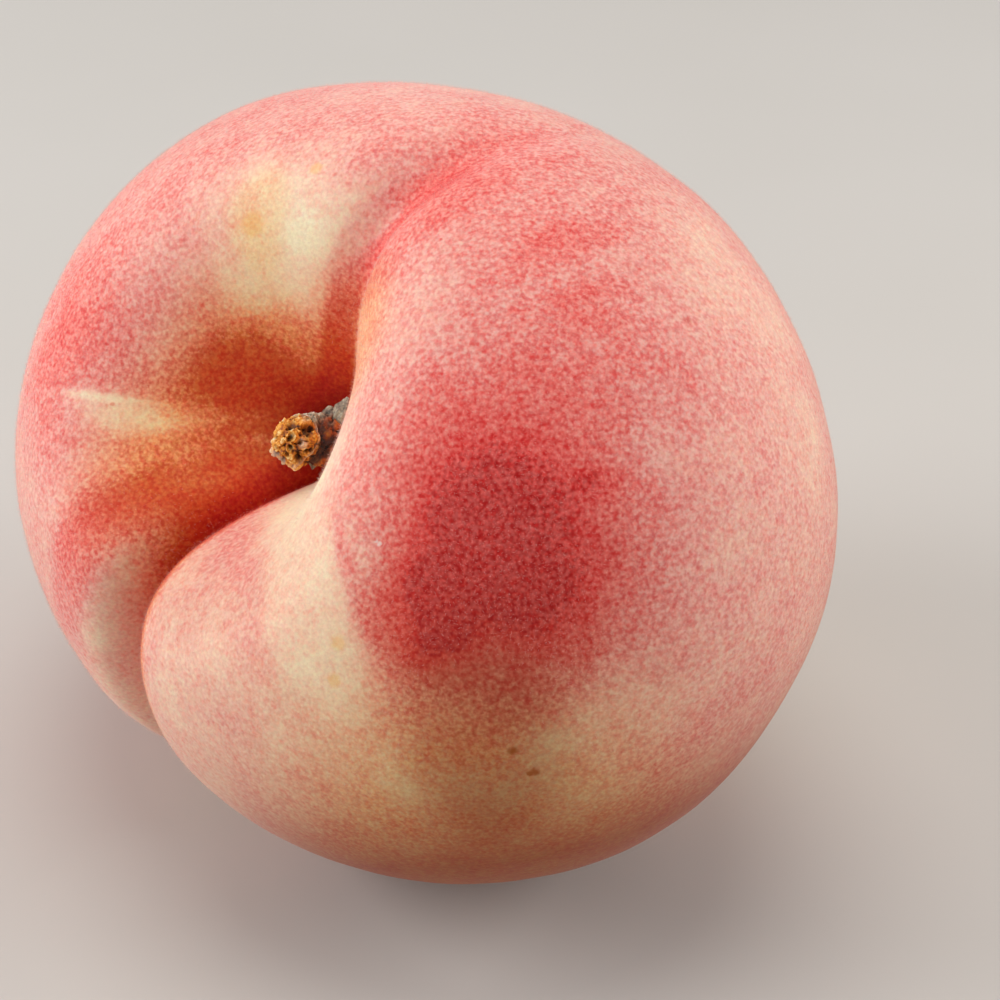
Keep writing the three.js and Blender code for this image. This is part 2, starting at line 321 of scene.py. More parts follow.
def joined(name, pieces, painted):
    """One piece out of several, with each one's faces and painted numbers kept."""
    points, faces = [], []
    values = {attribute: [] for attribute in painted}
    for piece in pieces:
        start = len(points)
        points += [tuple(v.co) for v in piece.data.vertices]
        faces += [tuple(start + i for i in p.vertices) for p in piece.data.polygons]
        for attribute in painted:
            kept = np.zeros(len(piece.data.vertices), dtype=np.float32)
            if attribute in piece.data.attributes:
                piece.data.attributes[attribute].data.foreach_get("value", kept)
            values[attribute].append(kept)
        bpy.data.objects.remove(piece)
    mesh = bpy.data.meshes.new(name)
    mesh.from_pydata(points, [], faces)
    mesh.shade_smooth()
    piece = bpy.data.objects.new(name, mesh)
    bpy.context.scene.collection.objects.link(piece)
    for attribute, kept in values.items():
        paint(piece, attribute, np.concatenate(kept))
    return piece


def paint(piece, name, values):
    """A number for each point of a piece, for its finish to read."""
    attribute = piece.data.attributes.new(name, "FLOAT", "POINT")
    attribute.data.foreach_set("value", np.ascontiguousarray(values, dtype=np.float32))


# -------------------------------------------------------------------------------- where colour lies

# Each mark is soft-edged: around, down, half length, half width (degrees as seen from the middle
# of the fruit), turn from the stem-to-tip line towards the front, edge (2 soft, 8 crisp), amount.
BLUSH_BASE = 0.32
BLUSH = {
    "front heart": (107, 62, 20, 12, -5, 7, 0.1),
    "front heart, core": (106, 53, 10, 12, -62, 3.5, 0.53),
    "front heart, stem side": (89, 48, 6.5, 7.5, -4, 4, 0.42),
    "front heart, low side": (87, 60, 9, 16, -26, 3, 0.59),
    "front cheek, back": (126, 39, 24, 12, 4, 2.5, 0.39),
    "front flank, back": (143, 85, 9, 20, 27, 6, -0.08),
    "back lobe": (160, 58, 13, 19, -35, 6, 0.09),
    "pale band": (77, 35, 14, 9, -29, 5, -0.19),
    "pale band, low": (82, 60, 19, 8, 52, 2, -0.42),
    "front shoulder": (9, 63, 48, 12, -28, 6, -0.13),
    "fold by the stem": (18, 21, 3.5, 16, -5, 2, 0.29),
    # The red down the suture is partly the skin's own colour and partly a painted glow of light
    # caught in the crease.
    "suture, rear wall": (-15, 32, 23, 5, 8, 3.5, 0.55),
    "suture floor": (3, 26, 33, 3.5, 7, 2, 0.95),
    "rear lobe by the suture": (-12, 35, 28, 5.5, 6, 3.5, -0.36),
    "rear lobe": (-75, 33, 9, 15, 17, 2, 0.24),
    "streak": (-55, 24, 3, 5, 78, 3, -0.24),
    # The red in the cavity is partly the skin's own colour and partly a painted glow of light caught
    # in the hollow.
    "cavity, front": (-69, 10, 12, 15, -1, 7, 0.24),
    "cavity, rear": (-116, 16, 5, 14, 10, 7, 0.25),
    "cavity, back wall": (-163, 20, 28, 2.4, -32, 6.5, 0.35),
    "yellow patch": (-169, 35, 11, 5, -44, 2, -0.34),
    "yellow patch, skirt": (-147, 30, 12, 14, 63, 4.5, -0.17),
    "back furrow": (171, 44, 14, 7.5, 2, 5.5, 0.19),
    "back lobe, stem side": (103, 19, 9, 33, -38, 3, -0.42),
    "back arc, near": (152, 56, 9, 2, 27, 2, 0.21),
    "back arc, far": (151, 61, 9, 1.8, 24, 3, 0.12),
    "second back arc": (143, 60, 8, 2.5, 11, 2, 0.26),
    "third back arc": (138, 61, 6, 2, 6, 3, 0.16),
    "furrow streak, near": (-174, 39, 13, 1.4, -16, 6, 0.16),
    "furrow streak": (-180, 52, 11, 3.5, 11, 2.5, 0.23),
    "furrow streak, far": (178, 60, 17, 2.9, 14, 4.5, 0.1),
    "shoulder streak": (61, 34, 4.5, 1.2, -19, 3, 0.07),
    "rear lobe, light by the suture": (-6, 39, 8, 1.9, -8, 3.5, -0.08),
    "heart, dark foot": (91, 50, 5, 2.2, -25, 6.5, 0.2),
    "heart, dark fleck": (117, 61, 2, 1.6, 4, 2.5, 0.22),
    "heart, edge": (87, 39, 7.5, 1.4, -35, 4.5, 0.2),
    "rear lobe, flank": (-20, 30, 10, 3.5, 65, 2.5, 0.1),
    "streak, point": (-60, 27, 4, 0.7, 3, 2, -0.26),
    "far side": (-120, 84, 30, 34, 0, 2, 0.16),
    "tip": (0, 180, 34, 34, 0, 2.5, -0.22),
}
WARM_BASE = 0.01
WARM = {
    # The orange of the cavity and the suture is partly the skin's own colour and partly a painted
    # glow of light bounced and scattered in these hollows.
    "cavity": (-73, 10, 13, 25, -9, 5.5, 1.2),
    "cavity, back wall": (162, 22, 14, 15, -16, 7, 0.84),
    "suture": (6, 41, 19, 4.5, 3, 3, 1.87),
    "yellow patch": (-144, 32, 6.5, 4.5, -34, 5, 0.65),
    "front lobe, low side": (63, 76, 31, 24, -35, 3, 1.2),
    "tip": (0, 180, 40, 40, 0, 2.5, 0.3),
}
# Tan, strongest underneath and under the front lobe: partly the fruit's own colour and partly painted
# shade of the underside.
TAN_AND_SHADE = {
    "underneath": (52, 97, 31, 41, -44, 4, 1.15),
    "under the front lobe": (79, 63, 15, 10, -51, 4, 0.4),
    "front shoulder": (46, 23, 10, 20, 4, 7, 0.26),
    "low back side": (125, 117, 12, 42, 11, 2, 0.43),
}

# The first rings beside the stem are bare. So is the warm skin of the cavity; its hairs begin
# between these angles down.
BARE_RINGS = 4
BARE_EDGE = (18, 32)
# Shares of the warm marks, and of the marks that brown the skin partly as painted shade, over which
# the down gives way to bare skin, and the height above the floor, in mm, over which it begins.
WARM_EDGE, TAN_AND_SHADE_EDGE, FLOOR_EDGE = (0.2, 0.8), (0.08, 0.40), (0.35, 1.2)

# Small spots: around, down and radius in mm. Each fades from one share of its radius to another.
SPOT_FADES, SPOT_ENDS = 0.5, 1.25
YELLOW_SPOTS = ((70.4, 45.3, 0.75), (76.2, 42.4, 0.8), (-142.3, 31.2, 1.3), (-157.8, 40.2, 0.7))
BROWN_SPOTS = ((80.3, 66.5, 0.50), (79.0, 70.5, 0.52), (78.3, 70.1, 0.36))
PALE_FLECKS = ((97.1, 39.9, 0.30), (97.6, 39.3, 0.22))
RED_SPOTS = (
    (-59, 24.6, 0.22), (-75.4, 15.8, 0.25), (-112.2, 23.4, 0.34), (-105.6, 23.2, 0.26),
    (-97.5, 22, 0.30), (-88.2, 22, 0.28), (140, 72.3, 0.45), (118.1, 61.1, 0.55),
)


def marked(way, base, marks):
    """The sum of soft-edged marks at an array of directions from the middle of the fruit."""
    total = np.full(way.shape[:-1], float(base))
    for around, down, length, width, turn, edge, amount in marks.values():
        middle = way_to(around, down)
        south = way_to(around, down + 90)
        east = np.cross(middle, south)
        across_to = math.cos(math.radians(turn)) * east - math.sin(math.radians(turn)) * south
        along_to = math.cos(math.radians(turn)) * south + math.sin(math.radians(turn)) * east
        along = np.degrees(way @ along_to) / length
        across = np.degrees(way @ across_to) / width
        facing = way @ middle
        out = np.where(facing > 0, np.hypot(along, across), 9.0)
        total += amount * np.exp(-(out**edge))
    return total


def socket_rings(around):
    """The rings of the socket that the stem grows out of."""
    radius = PEG_RADIUS + CLEARANCE
    rings = []
    for out, depth in SOCKET_RINGS:
        level = np.full_like(around, CAVITY_FLOOR - depth)
        ring = [radius * out * np.cos(around), radius * out * np.sin(around), level]
        rings.append(np.stack(ring, -1))
    return np.array(rings)


def grow_skin():
    around, down = skin_grid()
    grid = np.meshgrid(around, down)
    socket = socket_rings(around)
    rings = np.concatenate([socket, fruit_points(*grid, relief=1.0)])
    first = np.array([0, 0, CAVITY_FLOOR - SOCKET_DEPTH])
    last = fruit_points(np.zeros(1), np.full(1, math.pi), relief=1.0)[0]
    rings, first, last = (lying_places(points) for points in (rings, first, last))
    for points in (rings, first, last):
        height = points[..., 2] / MM
        points[..., 2] = 0.5 * (height + np.sqrt(height**2 + FLAT_ROUNDING**2)) * MM
    skin = closed_mesh("skin", first, rings, last)
    # What the finish and the down read.
    inside = np.array([way_to(0, 0)] * (1 + len(socket) * len(around)))
    way = np.concatenate([inside, direction(*grid).reshape(-1, 3), [way_to(0, 180)]])
    warm, tan = marked(way, WARM_BASE, WARM), marked(way, 0, TAN_AND_SHADE)
    paint(skin, "blush", marked(way, BLUSH_BASE, BLUSH))
    paint(skin, "warm", warm)
    paint(skin, "tan", tan)
    points = np.concatenate([[first], rings.reshape(-1, 3), [last]])
    in_cavity = 1 - smooth(np.arccos(way[:, 2]), *np.radians(BARE_EDGE))
    bare = np.maximum(smooth(warm, *WARM_EDGE) * in_cavity, smooth(tan, *TAN_AND_SHADE_EDGE))
    downy = smooth(points[:, 2] / MM, *FLOOR_EDGE) * (1 - bare)
    downy[: len(inside) + len(around) * BARE_RINGS] = 0
    paint(skin, "downy", downy)
    lay_flat(skin.data, len(rings), len(around))
    return skin


def lay_flat(mesh, rows, columns):
    """One flat map of a closed mesh, cut along one side."""
    layer = mesh.uv_layers.new(name="OFBake")
    corner = np.zeros(len(mesh.loops), dtype=np.int64)
    mesh.loops.foreach_get("vertex_index", corner)
    ring = (corner - 1) // columns
    place = (corner - 1) % columns / columns
    sides = np.zeros(len(mesh.polygons), dtype=np.int64)
    mesh.polygons.foreach_get("loop_total", sides)
    start = np.concatenate([[0], np.cumsum(sides)[:-1]])
    ends = (corner == 0) | (corner == rows * columns + 1)
    highest = np.repeat(np.maximum.reduceat(np.where(ends, 0, place), start), sides)
    place = np.where((highest > 0.5) & (place == 0), 1.0, place)
    place = np.where(ends, np.where(highest == 0, 1.0, highest) - 0.5 / columns, place)
    level = np.where(corner == 0, 0.0, np.where(ends, 1.0, (ring + 1) / (rows + 1)))
    layer.data.foreach_set("uv", np.stack([place, 1 - level], -1).astype(np.float32).ravel())


# --------------------------------------------------------------------------------------- node trees


class Wire:
    """A socket that a node gives out. Arithmetic on it adds Math nodes."""

    def __init__(self, nodes, socket):
        self.nodes, self.socket = nodes, socket

    def also(self, name):
        """Another socket of the same node."""
        return Wire(self.nodes, self.socket.node.outputs[name])

    def math(self, operation, *values, clamp=False):
        settings = {"operation": operation, "use_clamp": clamp}
        return self.nodes.add("ShaderNodeMath", settings, dict(enumerate(values)))

    def __add__(self, other):
        return self.math("ADD", self, other)

    def __radd__(self, other):
        return self.math("ADD", other, self)

    def __sub__(self, other):
        return self.math("SUBTRACT", self, other)

    def __rsub__(self, other):
        return self.math("SUBTRACT", other, self)

    def __mul__(self, other):
        return self.math("MULTIPLY", self, other)

    def __rmul__(self, other):
        return self.math("MULTIPLY", other, self)

    def clamped(self):
        return self.math("ADD", self, 0.0, clamp=True)


class Nodes:
    """A node tree, with one way to add a node to it."""

    def __init__(self, tree):
        self.tree = tree

    def add(self, kind, settings=None, sockets=None, out=0):
        new = self.tree.nodes.new(kind)
        for name, value in (settings or {}).items():
            if name == "stops":
                while len(new.color_ramp.elements) < len(value):
                    new.color_ramp.elements.new(1.0)
                for element, (place, colour) in zip(new.color_ramp.elements, value):
                    element.position, element.color = place, (*colour, 1)
            else:
                setattr(new, name, value)
        for name, value in (sockets or {}).items():
            if isinstance(value, Wire):
                self.tree.links.new(value.socket, new.inputs[name])
            else:
                new.inputs[name].default_value = value
        return Wire(self, new.outputs[out]) if new.outputs else new


def colour(text):
    """A hex colour as the linear numbers that shaders use."""
    parts = [int(text[i : i + 2], 16) / 255 for i in (0, 2, 4)]
    return tuple(c / 12.92 if c <= 0.04045 else ((c + 0.055) / 1.055) ** 2.4 for c in parts)


# Noise of another seed is read this far off, in metres for each seed.
SEEDS_APART = (0.31, 0.17, 0.23)


class Finish(Nodes):
    """A material, with the few patterns that this fruit's finishes share."""

    def __init__(self, name):
        self.material = bpy.data.materials.new(name)
        self.material.use_nodes = True
        super().__init__(self.material.node_tree)
        self.tree.nodes.clear()
        self.place = self.add("ShaderNodeTexCoord", out="Object")

    def painted(self, name):
        return self.add("ShaderNodeAttribute", {"attribute_name": name}, out="Fac")

    def noise(self, size, detail=2.0, roughness=0.5, at=None, seed=0):
        """Noise from 0 to 1 whose lumps are about size millimetres."""
        apart = tuple(step * seed for step in SEEDS_APART)
        at = self.add("ShaderNodeVectorMath", {"operation": "ADD"}, {0: at or self.place, 1: apart})
        sockets = {"Vector": at, "Scale": 1 / (size * MM), "Detail": detail, "Roughness": roughness}
        return self.add("ShaderNodeTexNoise", {"noise_dimensions": "3D"}, sockets)

    def cells(self, size):
        """The distance from the middle of each cell, in cells."""
        settings = {"voronoi_dimensions": "3D", "feature": "F1"}
        sockets = {"Vector": self.place, "Scale": 1 / (size * MM)}
        return self.add("ShaderNodeTexVoronoi", settings, sockets)

    def between(self, value, start, end):
        """0 at start, 1 at end, and smooth between them."""
        sockets = {"Value": value, "From Min": start, "From Max": end}
        return self.add("ShaderNodeMapRange", {"interpolation_type": "SMOOTHSTEP"}, sockets)

    def mix(self, share, first, second, blend="MIX"):
        settings = {"data_type": "RGBA", "blend_type": blend}
        first, second = (v if isinstance(v, Wire) else (*v, 1) for v in (first, second))
        return self.add("ShaderNodeMix", settings, {0: share, 6: first, 7: second}, out=2)

    def shift(self, vector, other, amount):
        """A vector moved by another that runs from 0 to 1, by up to amount millimetres."""
        settings = {"operation": "MULTIPLY_ADD"}
        sockets = {0: other, 1: (2 * amount * MM,) * 3, 2: vector}
        return self.add("ShaderNodeVectorMath", settings, sockets)

    def bump(self, height, strength, distance):
        """A bump whose highest places stand out by distance millimetres."""
        sockets = {"Strength": strength, "Distance": distance * MM, "Height": height}
        return self.add("ShaderNodeBump", {}, sockets)

    def ramp(self, value, stops):
        return self.add("ShaderNodeValToRGB", {"stops": stops}, {"Fac": value})

    def spots(self, places, at):
        """1 at spots on the fruit, falling softly to 0 round the edge of each."""
        total = 0.0
        for around, down, radius in places:
            ring = np.radians([around]), np.radians([down])
            middle = lying_places(fruit_points(*ring, relief=1.0))[0]
            sockets = {0: at, 1: tuple(middle)}
            away = self.add("ShaderNodeVectorMath", {"operation": "DISTANCE"}, sockets, out="Value")
            total = self.between(away, SPOT_ENDS * radius * MM, SPOT_FADES * radius * MM) + total
        return total.clamped()

    def finish(self, **sockets):
        """Ends the material in one Principled shader."""
        sockets = {name.replace("_", " "): value for name, value in sockets.items()}
        shader = self.add("ShaderNodeBsdfPrincipled", {}, sockets)
        self.add("ShaderNodeOutputMaterial", {}, {"Surface": shader})
        return self.material


# -------------------------------------------------------------------------------- the skin's finish

ROSY = [
    (0.00, colour("fff1cb")),
    (0.18, colour("ffd9bd")),
    (0.38, colour("fac1b2")),
    (0.58, colour("fb9183")),
    (0.80, colour("f24d47")),
    (1.00, colour("c91e1d")),
]
# The ramp of warm skin. Its deep stops, bright in red, partly paint the glow of light scattered in
# the cavity and the suture.
ORANGE = [
    (0.00, colour("ffe9b6")),
    (0.18, colour("ffe3a6")),
    (0.38, colour("ffb774")),
    (0.58, colour("e27b37")),
    (0.80, colour("dd540d")),
    (1.00, colour("cd2604")),
]

# The sizes of the skin's patterns, in mm.
DRIFT_SIZE, MOTTLE_SIZE, PATCH_SIZE, GRAIN_SIZE, CLUMP_SIZE = 7.0, 5.0, 17.0, 0.33, 0.85
DOT_SIZE, NET_SIZE, NAP_SIZE, RAGGED_SIZE, VELVET_SIZE = 0.60, 0.45, 0.36, 0.5, 0.45
# How far the patterns are moved, in mm, and how high the velvet stands.
DRIFT, RAGGEDNESS, VELVET_HEIGHT = 1.2, 0.22, 0.08
# How much each pattern changes the blush, which counts no higher than its deepest.
MOTTLE_ADDS, PATCHES_ADD, GRAIN_ADDS, DEEPEST_BLUSH = 0.34, 0.20, 0.21, 0.96
# The blush over which the grain, and then the net, come in; both are weaker on warm skin.
GRAIN_BLUSH, NET_BLUSH, WARM_LESS_GRAIN, WARM_LESS_PEBBLES = (-0.30, 0.48), (-0.02, 0.54), 0.15, 0.9
# What each layer of colour is, and the share of it.
FLECK_SHARE, FLECK_RED = 0.72, (1.0, 0.62, 0.62)
DOT_SHARE, DOT_RED = 0.50, (0.93, 0.52, 0.54)
NET_SHARE, NET_RED = 0.85, (0.83, 0.30, 0.34)
PEBBLE_SHARE, PEBBLE_PINK = 0.25, colour("f6a89e")
NAP_SHARE, NAP_SHADE = 0.26, (0.62, 0.56, 0.52)
# The brown laid on by those marks, as the fruit's own colour and as painted shade.
TAN_AND_SHADE_SKIN = colour("a4743f")
YELLOW_SHARE, YELLOW_SPOT = 0.42, colour("f6bc58")
BROWN_SHARE, BROWN_SPOT = 0.95, colour("a45000")
PALE_SHARE, PALE_FLECK = 0.65, colour("f6e6dc")
RED_SHARE, RED_SPOT = 0.55, (0.80, 0.25, 0.20)
BLOOM_SHARE, BLOOM = 0.04, colour("f3d3cd")


def skin_finish():
    m = Finish("peach_skin")
    blush, warm, tan = m.painted("blush"), m.painted("warm").clamped(), m.painted("tan")
    loose = m.shift(m.place, m.noise(DRIFT_SIZE, 2.0, seed=1).also("Color"), DRIFT)
    mottle = m.noise(MOTTLE_SIZE, 3.0, 0.62, at=loose, seed=2)
    patches = m.noise(PATCH_SIZE, 2.0, seed=5)
    blush = blush + MOTTLE_ADDS * (mottle - 0.5) + PATCHES_ADD * (patches - 0.5)
    # A close grain of red, and coarser flecks of it, where the blush is strong.
    reach = m.between(blush, *GRAIN_BLUSH) * (1 - WARM_LESS_GRAIN * warm)
    grain = m.between(m.noise(GRAIN_SIZE, 1.0, seed=7), 0.22, 0.78)
    capped = blush.math("MINIMUM", blush, DEEPEST_BLUSH)
    pigment = (capped + GRAIN_ADDS * (grain - 0.5) * reach).clamped()
    # Warm skin turns orange. In the cavity and the suture this orange is partly painted glow.
    skin = m.mix(warm, m.ramp(pigment, ROSY), m.ramp(pigment, ORANGE))
    clumps = m.noise(CLUMP_SIZE, 2.0, 0.6, seed=8)
    flecks = m.between(clumps, 0.40, 0.70)
    skin = m.mix(FLECK_SHARE * flecks * reach, skin, FLECK_RED, "MULTIPLY")
    dots = m.between(m.cells(DOT_SIZE), 0.40, 0.14) * m.between(clumps, 0.46, 0.60)
    skin = m.mix(DOT_SHARE * dots * reach, skin, DOT_RED, "MULTIPLY")
    # Pebbles of paler skin in a net of red.
    net = m.between(m.noise(NET_SIZE, 1.0, seed=12), 0.27, 0.73)
    netted = m.between(blush, *NET_BLUSH)
    skin = m.mix(NET_SHARE * net * netted, skin, NET_RED, "MULTIPLY")
    pebbles = (1 - net) * netted * (1 - WARM_LESS_PEBBLES * warm)
    skin = m.mix(PEBBLE_SHARE * pebbles, skin, PEBBLE_PINK)
    # Browner skin underneath and under the front lobe, partly painted shade.
    skin = m.mix(tan.clamped(), skin, TAN_AND_SHADE_SKIN, "MULTIPLY")
    # Fine shadow and light between the hairs' roots.
    nap = m.between(m.noise(NAP_SIZE, 2.0, 0.7, seed=9), 0.30, 0.70)
    skin = m.mix(NAP_SHARE * nap, skin, NAP_SHADE, "MULTIPLY")
    # Small spots with ragged outlines.
    ragged = m.shift(m.place, m.noise(RAGGED_SIZE, 1.0, seed=17).also("Color"), RAGGEDNESS)
    skin = m.mix(YELLOW_SHARE * m.spots(YELLOW_SPOTS, ragged), skin, YELLOW_SPOT)
    skin = m.mix(BROWN_SHARE * m.spots(BROWN_SPOTS, ragged), skin, BROWN_SPOT)
    skin = m.mix(PALE_SHARE * m.spots(PALE_FLECKS, ragged), skin, PALE_FLECK)
    skin = m.mix(RED_SHARE * m.spots(RED_SPOTS, ragged), skin, RED_SPOT, "MULTIPLY")
    # A dry bloom, thin where the skin is red.
    skin = m.mix(BLOOM_SHARE * (1 - reach), skin, BLOOM)
    velvet = m.bump(m.noise(VELVET_SIZE, 2.0, 0.6, seed=13), 0.45, VELVET_HEIGHT)
    return m.finish(
        Base_Color=skin,
        Roughness=0.62 + 0.14 * clumps,
        Normal=velvet,
        IOR=1.4,
        Specular_IOR_Level=0.3,
        Subsurface_Weight=0.4,
        Subsurface_Radius=(1.0, 0.42, 0.22),
        Subsurface_Scale=0.0035,
        Sheen_Weight=0.16,
        Sheen_Roughness=0.45,
        Sheen_Tint=(0.98, 0.86, 0.86, 1),
    )


# ----------------------------------------------------------------------------------------- the down

DOWN_LAYERS = 4
HAIRS_IN_A_SQUARE_METRE = 2.25e6
HAIR_LENGTH, HAIR_THICKNESS, HAIR_LEAN = 0.34 * MM, 0.016 * MM, 0.75
SHORTEST_HAIR, LONGEST_HAIR = 0.55, 1.25


def down_tree(material):
    """Short hairs scattered over a surface, each leaning its own way."""
    tree = bpy.data.node_groups.new("short_hairs", "GeometryNodeTree")
    sizes = (
        ("Hairs per m2", "NodeSocketFloat", HAIRS_IN_A_SQUARE_METRE),
        ("Seed", "NodeSocketInt", 1),
        ("Length", "NodeSocketFloat", HAIR_LENGTH),
        ("Thickness", "NodeSocketFloat", HAIR_THICKNESS),
        ("Lean", "NodeSocketFloat", HAIR_LEAN),
    )
    tree.interface.new_socket("Geometry", in_out="INPUT", socket_type="NodeSocketGeometry")
    for name, kind, value in sizes:
        tree.interface.new_socket(name, in_out="INPUT", socket_type=kind).default_value = value
    tree.interface.new_socket("Geometry", in_out="OUTPUT", socket_type="NodeSocketGeometry")
    n = Nodes(tree)
    given = n.add("NodeGroupInput")
    downy = n.add("GeometryNodeInputNamedAttribute", {"data_type": "FLOAT"}, {"Name": "downy"})
    density = downy * given.also("Hairs per m2")
    seed = given.also("Seed")
    spread = n.add(
        "GeometryNodeDistributePointsOnFaces",
        {"distribute_method": "RANDOM"},
        {"Mesh": given, "Density": density, "Seed": seed},
    )
    hair = n.add(
        "GeometryNodeMeshCone",
        {"fill_type": "NGON"},
        {"Vertices": 3, "Side Segments": 1, "Radius Top": 0.0, "Radius Bottom": 0.5, "Depth": 1.0},
    )
    lean = n.add(
        "FunctionNodeRandomValue",
        {"data_type": "FLOAT_VECTOR"},
        {0: (-1, -1, -1), 1: (1, 1, 1), "Seed": seed},
    )
    lean = n.add(
        "ShaderNodeVectorMath", {"operation": "SCALE"}, {0: lean, "Scale": given.also("Lean")}
    )
    up = n.add("ShaderNodeVectorMath", {"operation": "ADD"}, {0: spread.also("Normal"), 1: lean})
    turn = n.add("FunctionNodeAlignRotationToVector", {"axis": "Z"}, {"Vector": up})
    longer = n.add(
        "FunctionNodeRandomValue",
        {"data_type": "FLOAT"},
        {2: SHORTEST_HAIR, 3: LONGEST_HAIR, "Seed": seed},
        out=1,
    )
    size = n.add(
        "ShaderNodeCombineXYZ",
        {},
        {
            "X": given.also("Thickness"),
            "Y": given.also("Thickness"),
            "Z": longer * given.also("Length"),
        },
    )
    hairs = n.add(
        "GeometryNodeInstanceOnPoints",
        {},
        {"Points": spread, "Instance": hair, "Rotation": turn, "Scale": size},
    )
    hairs = n.add("GeometryNodeRealizeInstances", {}, {"Geometry": hairs})
    hairs = n.add("GeometryNodeSetMaterial", {}, {"Geometry": hairs, "Material": material})
    n.add("NodeGroupOutput", {}, {"Geometry": hairs})
    return tree


def grow_down(skin, tree, name, seed):
    """One layer of down as a plain mesh."""
    carrier = bpy.data.objects.new(name + "_carrier", skin.data.copy())
    bpy.context.scene.collection.objects.link(carrier)
    modifier = carrier.modifiers.new("hairs", "NODES")
    modifier.node_group = tree
    sockets = {s.name: s.identifier for s in tree.interface.items_tree if s.in_out == "INPUT"}
    modifier[sockets["Seed"]] = seed
    carrier.update_tag()
    graph = bpy.context.evaluated_depsgraph_get()
    mesh = bpy.data.meshes.new_from_object(carrier.evaluated_get(graph))
    bpy.data.objects.remove(carrier)
    mesh.name = name
    layer = bpy.data.objects.new(name, mesh)
    bpy.context.scene.collection.objects.link(layer)
    return layer


def down_finish():
    m = Finish("down")
    return m.finish(
        Base_Color=(*colour("f0cdc1"), 1),
        Roughness=0.7,
        Specular_IOR_Level=0.3,
    )


# ----------------------------------------------------------------------------------------- the stem


def stem_radius(height):
    heights = np.array([ring[0] for ring in STEM_PROFILE] + [STEM_TOP])
    radii = np.array([ring[1] for ring in STEM_PROFILE] + [0.0])
    above = np.clip(np.searchsorted(heights, height), 1, len(heights) - 1)
    share = smooth(height, heights[above - 1], heights[above])
    return radii[above - 1] + (radii[above] - radii[above - 1]) * share


def stem_relief(height, around):
    clear = smooth(height, *RIBS_START)
    ribs = RIB_HEIGHT * np.cos(RIBS * around + RIB_TWIST * height)
    cork = SWELL_HEIGHT * np.sin(SWELLS * around) * np.sin(2 * math.pi * height / SWELL_LENGTH)
    return 1 + clear * (ribs + cork)


def outwards(points, middle):
    """The directions from a middle line to points."""
    out = points - middle
    return out / np.maximum(np.linalg.norm(out, axis=-1, keepdims=True), 1e-6)


def roughened(points, middle, amount):
    """Points pushed off a middle line by cork-like noise, and how far each one stands out."""
    layers = sum(height * lumps(points, size, seed) for height, size, seed in CORK_LUMPS)
    cracks = smooth(-np.abs(lumps(points, CRACK_SIZE, CRACK_SEED)), -CRACK_WIDTH, 0.0)
    layers = layers - CRACK_DEPTH * cracks
    return points + outwards(points, middle) * (amount * layers)[..., None], layers / FULLY_RAISED


def pitted(points, middle, places):
    """Points with rimmed pits sunk in at places, and how deep each lies in one, from 0 to 1."""
    sunk, raised = np.zeros(points.shape[:-1]), np.zeros(points.shape[:-1])
    for place, radius in places:
        away = np.linalg.norm(points - place, axis=-1) / radius
        sunk = np.maximum(sunk, np.exp(-(away**4)))
        raised = np.maximum(raised, np.exp(-(((away - PIT_RIM_AT) / PIT_RIM_WIDTH) ** 2)))
    depth = -PIT_DEPTH * sunk + PIT_RIM * raised * (1 - sunk)
    return points + outwards(points, middle) * depth[..., None], sunk


